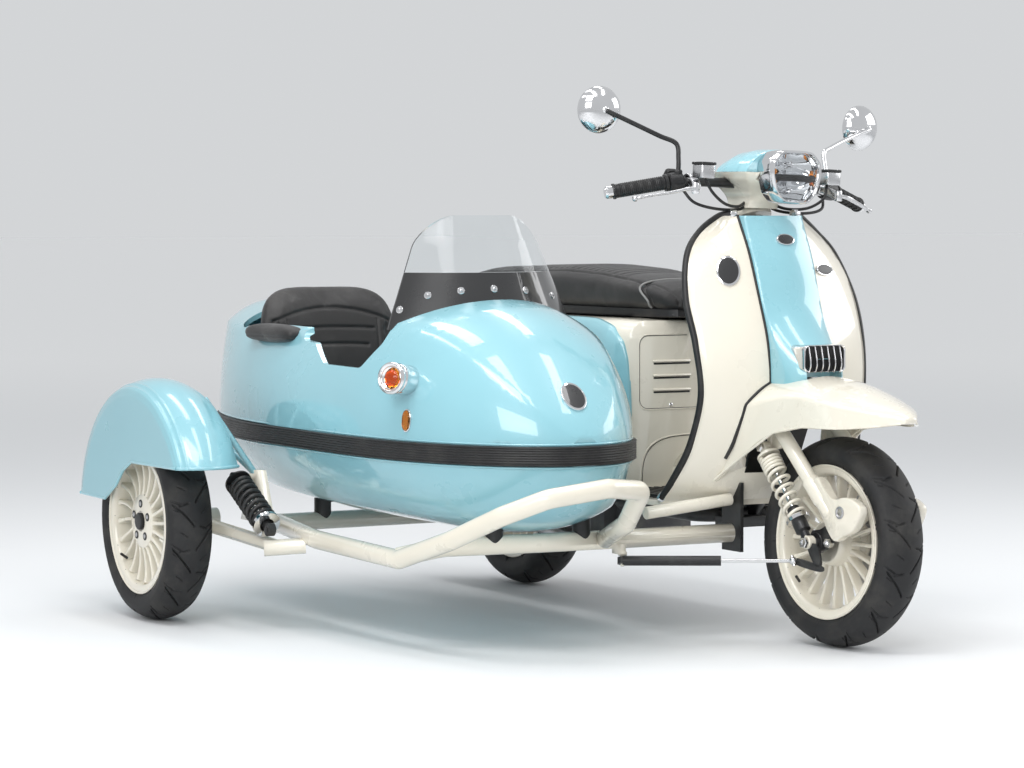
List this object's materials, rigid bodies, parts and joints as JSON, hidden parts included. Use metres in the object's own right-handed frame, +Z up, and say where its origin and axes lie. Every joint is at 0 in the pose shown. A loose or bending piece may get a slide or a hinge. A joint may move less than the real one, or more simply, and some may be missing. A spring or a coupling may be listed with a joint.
{
  "type": "sidecar motorcycle",
  "caption": "Retro scooter in light blue and ivory with a boat-shaped single-seat sidecar on its right, a low windscreen and a tubular bumper rail.",
  "frame": {"origin": "on the floor, at the middle of the outer box", "axes": "+X forward, +Y to the rider's left, +Z up"},
  "size_m": [1.981, 1.6171, 1.2285],
  "materials": {
    "blue_paint": "clear-coated gloss in a light powder blue",
    "cream_paint": "clear-coated gloss in warm ivory",
    "black_paint": "satin black",
    "chrome": "bright plated",
    "bare_aluminium": "satin cast",
    "steel": "satin",
    "iron": "sand-cast",
    "tyre": "matte rubber",
    "rubber": "ribbed rubber",
    "vinyl": "black grained vinyl",
    "black_plastic": "matte moulded",
    "dark_acrylic": "gloss black",
    "clear_acrylic": "clear sheet",
    "lamp_glass": "moulded clear",
    "red_lens": "translucent red"
  },
  "bodies": {
    "chassis": {"scooter_frame": "black_paint", "leg_shield": "cream_paint", "centre_panel": "blue_paint", "horn_grille": "chrome", "front_mudguard": "cream_paint", "footboard": "cream_paint", "floor_mats": "rubber", "wheel_liner": "black_plastic", "body_shell": "cream_paint", "storage_tub": "black_plastic", "side_panels": "blue_paint", "inner_panel": "black_plastic", "engine": "iron", "exhaust": "steel", "rear_shocks": "chrome", "tail_lamp": "red_lens", "plate_bracket": "black_plastic", "sidecar_cowl": "blue_paint", "sidecar_hull": "blue_paint", "rub_band": "rubber", "windscreen": "clear_acrylic", "windscreen_band": "dark_acrylic", "sidecar_seat": "vinyl", "sidecar_backrest": "vinyl", "armrests": "vinyl", "bumper_tube": "cream_paint", "sidecar_struts": "cream_paint", "rubber_mounts": "rubber", "sidecar_arm": "cream_paint", "sidecar_shock": "steel", "sidecar_mudguard": "blue_paint", "sidecar_lamps": "chrome", "cross_tube": "cream_paint", "rear_cross_tube": "cream_paint"},
    "steering": {"front_fork": "cream_paint", "fork_links": "black_paint", "front_shocks": "chrome", "brake_caliper": "black_paint", "headset": "cream_paint", "headset_cover": "blue_paint", "headlamp": "chrome", "headlamp_lens": "lamp_glass", "handlebar": "black_plastic", "levers": "bare_aluminium", "mirrors": "chrome"},
    "front_wheel": {"front_rim": "cream_paint", "front_tyre": "tyre", "brake_disc": "steel"},
    "rear_wheel": {"rear_rim": "cream_paint", "rear_tyre": "tyre"},
    "sidecar_wheel": {"sidecar_rim": "cream_paint", "sidecar_tyre": "tyre"},
    "seat": {"seat_cushion": "vinyl", "seat_pan": "black_plastic"},
    "glovebox": {"glovebox_door": "black_plastic"},
    "damper_body": {"damper_tube": "black_paint"},
    "damper_ram": {"damper_rod": "chrome"}
  },
  "joints": [
    {"name": "steering_turn", "type": "hinge", "parent": "chassis", "child": "steering", "pos_m": [0.46077, 0.3764, 0.75], "axis": [-0.4226, 0, 0.9063], "range_deg": [-37.5, 26.5]},
    {"name": "front_wheel_spin", "type": "hinge", "parent": "steering", "child": "front_wheel", "pos_m": [0.73538, 0.37917, 0.22934], "axis": [-0.0869, 0.9954, -0.0405], "continuous": true},
    {"name": "rear_wheel_spin", "type": "hinge", "parent": "chassis", "child": "rear_wheel", "pos_m": [-0.6545, 0.3764, 0.2364], "axis": [0, 1, 0], "continuous": true},
    {"name": "sidecar_wheel_spin", "type": "hinge", "parent": "chassis", "child": "sidecar_wheel", "pos_m": [-0.4435, -0.7376, 0.2294], "axis": [0, 1, 0], "continuous": true},
    {"name": "seat_lift", "type": "hinge", "parent": "chassis", "child": "seat", "pos_m": [0.1675, 0.3764, 0.702], "axis": [0, 1, 0], "range_deg": [0, 70]},
    {"name": "glovebox_open", "type": "hinge", "parent": "chassis", "child": "glovebox", "pos_m": [0.43576, 0.3764, 0.60369], "axis": [0, -1, 0], "range_deg": [0, 75]},
    {"name": "damper_swing", "type": "hinge", "parent": "chassis", "child": "damper_body", "pos_m": [0.5045, -0.0416, 0.188], "axis": [-0.3073, 0.1937, 0.9317], "range_deg": [-6.83, 9.58]},
    {"name": "damper_slide", "type": "slide", "parent": "damper_body", "child": "damper_ram", "axis": [0.5466, 0.8373, 0.0062], "range_m": [-0.01889, 0.0135]}
  ],
  "couplings": [
    {"joint": "damper_swing", "follows": "steering_turn", "ratio": -0.25019},
    {"joint": "damper_slide", "follows": "steering_turn", "m_per_rad": 0.028099}
  ]
}
